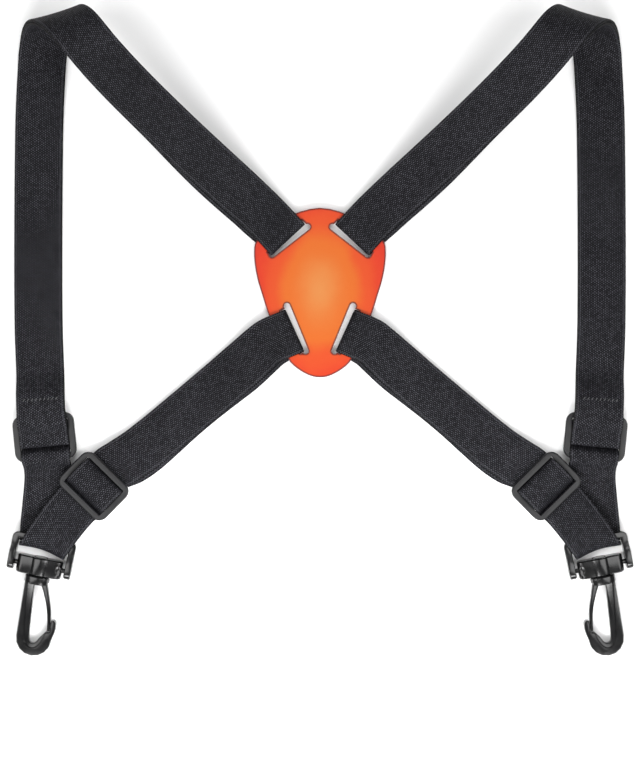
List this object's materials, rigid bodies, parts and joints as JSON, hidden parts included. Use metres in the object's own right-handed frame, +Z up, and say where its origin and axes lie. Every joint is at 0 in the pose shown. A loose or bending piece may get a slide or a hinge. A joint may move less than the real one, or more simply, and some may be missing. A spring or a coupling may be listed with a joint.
{
  "type": "binocular harness",
  "caption": "Binocular harness: crossed elastic bands through a small leather back plate, with sliders and swivel snap hooks at the ends.",
  "frame": {"origin": "middle of the harness's bounding box, on the surface it lies on", "axes": "+X across the wearer's back towards the picture's right, +Y towards the shoulder arches, +Z up from the surface"},
  "size_m": [0.3276, 0.3368, 0.0429],
  "materials": {
    "plate_leather": "glossy, printed orange fading to red at the edge",
    "elastic_band": "fine twill weave",
    "slider_plastic": "satin moulded",
    "hook_plastic": "semi-gloss moulded"
  },
  "bodies": {
    "harness": {"back_plate": "plate_leather", "left_shoulder_band": "elastic_band", "left_side_band": "elastic_band", "left_shoulder_slider": "slider_plastic", "left_side_slider": "slider_plastic", "left_bail": "hook_plastic", "right_shoulder_band": "elastic_band", "right_side_band": "elastic_band", "right_shoulder_slider": "slider_plastic", "right_side_slider": "slider_plastic", "right_bail": "hook_plastic"},
    "left_block": {"left_swivel_block": "hook_plastic"},
    "left_hook": {"left_hook": "hook_plastic"},
    "left_gate": {"left_gate": "hook_plastic"},
    "right_block": {"right_swivel_block": "hook_plastic"},
    "right_hook": {"right_hook": "hook_plastic"},
    "right_gate": {"right_gate": "hook_plastic"}
  },
  "joints": [
    {"name": "left_hook_pivot", "type": "hinge", "parent": "harness", "child": "left_block", "pos_m": [-0.1466, -0.12135, 0.00572], "axis": [0.9799, -0.1994, 0], "range_deg": [-120, 120]},
    {"name": "left_hook_swivel", "type": "hinge", "parent": "left_block", "child": "left_hook", "pos_m": [-0.1476, -0.12623, 0.00539], "axis": [-0.1989, -0.9778, -0.066], "continuous": true},
    {"name": "left_gate_hinge", "type": "hinge", "parent": "left_hook", "child": "left_gate", "pos_m": [-0.14386, -0.12995, 0.0052], "axis": [0.0132, 0.0646, -0.9978], "range_deg": [0, 16], "stiffness_Nm_per_rad": 0.1},
    {"name": "right_hook_pivot", "type": "hinge", "parent": "harness", "child": "right_block", "pos_m": [0.1466, -0.12135, 0.00572], "axis": [0.9799, 0.1994, 0], "range_deg": [-120, 120]},
    {"name": "right_hook_swivel", "type": "hinge", "parent": "right_block", "child": "right_hook", "pos_m": [0.1476, -0.12623, 0.00539], "axis": [-0.1989, 0.9778, 0.066], "continuous": true},
    {"name": "right_gate_hinge", "type": "hinge", "parent": "right_hook", "child": "right_gate", "pos_m": [0.14386, -0.12995, 0.0052], "axis": [0.0132, -0.0646, 0.9978], "range_deg": [0, 16], "stiffness_Nm_per_rad": 0.1}
  ]
}
